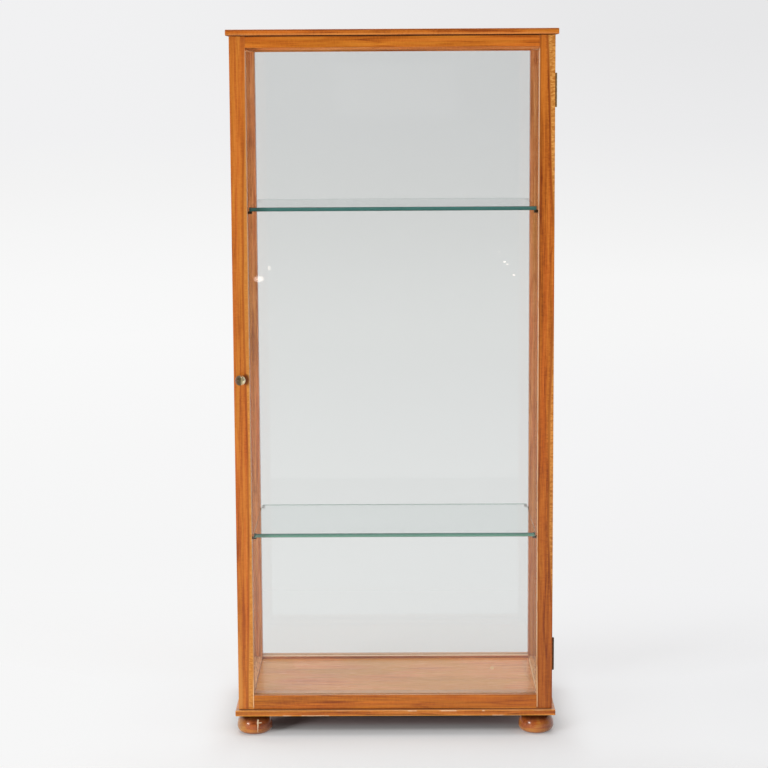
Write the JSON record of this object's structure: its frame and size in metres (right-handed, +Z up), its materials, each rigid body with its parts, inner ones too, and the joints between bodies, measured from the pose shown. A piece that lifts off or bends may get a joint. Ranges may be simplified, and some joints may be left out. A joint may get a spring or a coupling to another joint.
{
  "type": "display cabinet",
  "caption": "Tall narrow wooden display cabinet with glass sides, back and hinged front door, glass shelves on pins and turned bun feet.",
  "frame": {"origin": "under the middle of the cabinet, on the surface that the feet stand on", "axes": "+Z up; -Y to the front, where the door is; +X to the right as one faces the door, where the hinges are"},
  "size_m": [0.5, 0.301, 1.092],
  "materials": {
    "board_wood": "oiled and polished, warm orange brown, worn arrises",
    "frame_wood": "polished straight-grained hardwood",
    "door_wood": "polished hardwood with golden and red-brown bands",
    "floor_wood": "matt, slightly scuffed",
    "bead_wood": "small square glazing beads, polished",
    "foot_wood": "turned and glossy",
    "pane_glass": "clear flat window glass",
    "shelf_glass": "clear float glass with polished green edges",
    "hinge_brass": "aged brass, dull",
    "knob_brass": "handled brass, polished by use",
    "screw_steel": "plated steel",
    "brad_steel": "dark steel"
  },
  "bodies": {
    "carcass": {"top_board": "board_wood", "base_board": "board_wood", "floor_panel": "floor_wood", "foot_front_left": "foot_wood", "post_front_left": "frame_wood", "foot_front_right": "foot_wood", "post_front_right": "frame_wood", "foot_rear_left": "foot_wood", "post_rear_left": "frame_wood", "foot_rear_right": "foot_wood", "post_rear_right": "frame_wood", "side_rail_top_left": "frame_wood", "side_rail_top_right": "frame_wood", "front_rail_top": "frame_wood", "rear_rail_top": "frame_wood", "side_rail_bottom_left": "frame_wood", "side_rail_bottom_right": "frame_wood", "front_rail_bottom": "frame_wood", "rear_rail_bottom": "frame_wood", "side_glass_left": "pane_glass", "side_beads_upright_left": "bead_wood", "side_beads_level_left": "bead_wood", "side_bead_brads_left": "brad_steel", "side_glass_right": "pane_glass", "side_beads_upright_right": "bead_wood", "side_beads_level_right": "bead_wood", "side_bead_brads_right": "brad_steel", "back_glass": "pane_glass", "back_beads_upright": "bead_wood", "back_beads_level": "bead_wood", "back_bead_brads": "brad_steel", "catch_magnet": "screw_steel", "hinge_upper_post_leaf": "hinge_brass", "hinge_upper_pin": "hinge_brass", "hinge_lower_post_leaf": "hinge_brass", "hinge_lower_pin": "hinge_brass", "hinge_post_screws": "hinge_brass", "shelf_pins_upper": "hinge_brass", "shelf_pins_lower": "hinge_brass", "base_screws": "screw_steel", "top_screws": "screw_steel"},
    "door": {"door_stile_left": "door_wood", "door_stile_right": "door_wood", "door_rail_top": "door_wood", "door_rail_bottom": "door_wood", "door_glass": "pane_glass", "door_beads_upright": "bead_wood", "door_beads_level": "bead_wood", "door_bead_brads": "brad_steel", "door_knob": "knob_brass", "knob_screw": "screw_steel", "catch_strike": "screw_steel", "strike_screw": "screw_steel", "hinge_upper_door_leaf": "hinge_brass", "hinge_lower_door_leaf": "hinge_brass", "hinge_door_screws": "hinge_brass"},
    "shelf_upper_glass": {"shelf_upper": "shelf_glass"},
    "shelf_lower_glass": {"shelf_lower": "shelf_glass"}
  },
  "joints": [
    {"name": "door_hinge", "type": "hinge", "parent": "carcass", "child": "door", "pos_m": [0.2466, -0.108, 0.562], "axis": [0, 0, 1], "range_deg": [0, 180]},
    {"name": "shelf_upper_lift", "type": "slide", "parent": "carcass", "child": "shelf_upper_glass", "axis": [0, 0, 1], "range_m": [0, 0.06]},
    {"name": "shelf_lower_lift", "type": "slide", "parent": "carcass", "child": "shelf_lower_glass", "axis": [0, 0, 1], "range_m": [0, 0.06]}
  ]
}
